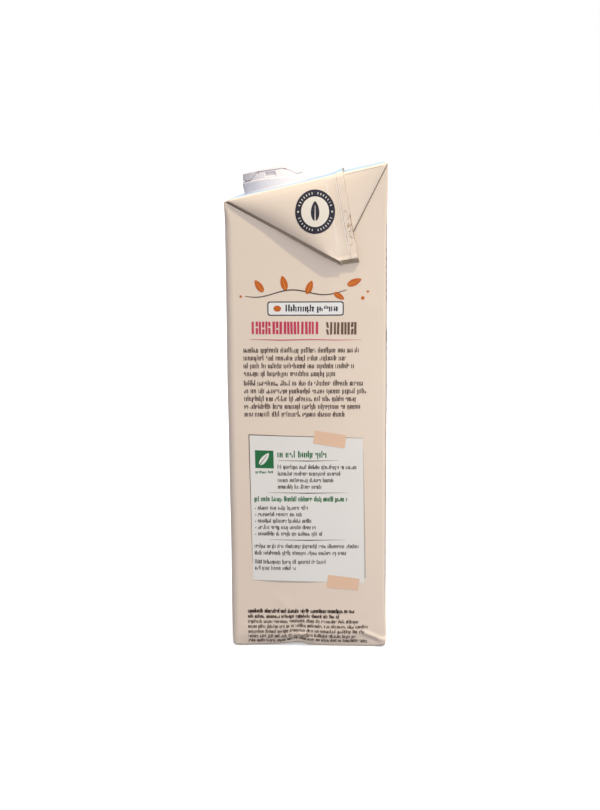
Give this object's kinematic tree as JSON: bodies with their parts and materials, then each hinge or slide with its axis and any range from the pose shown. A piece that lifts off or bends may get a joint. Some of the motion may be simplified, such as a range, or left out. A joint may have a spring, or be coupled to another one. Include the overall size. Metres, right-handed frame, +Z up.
{
  "type": "almond milk carton",
  "caption": "Tall square folded-board drinks carton with a sloping top, ears folded down on its sides and a low white screw cap.",
  "frame": {"origin": "centre of the footprint, on the surface the carton stands on", "axes": "+Z up; the low edge of the sloping top and the screw cap are towards -X, the high edge towards +X; the side panels with the ears face -Y and +Y"},
  "size_m": [0.0718, 0.08, 0.2177],
  "materials": {
    "board": "coated, half gloss",
    "closure": "satin"
  },
  "bodies": {
    "root": {"carton": "board", "spout": "closure", "screw_cap": "closure"}
  },
  "joints": []
}
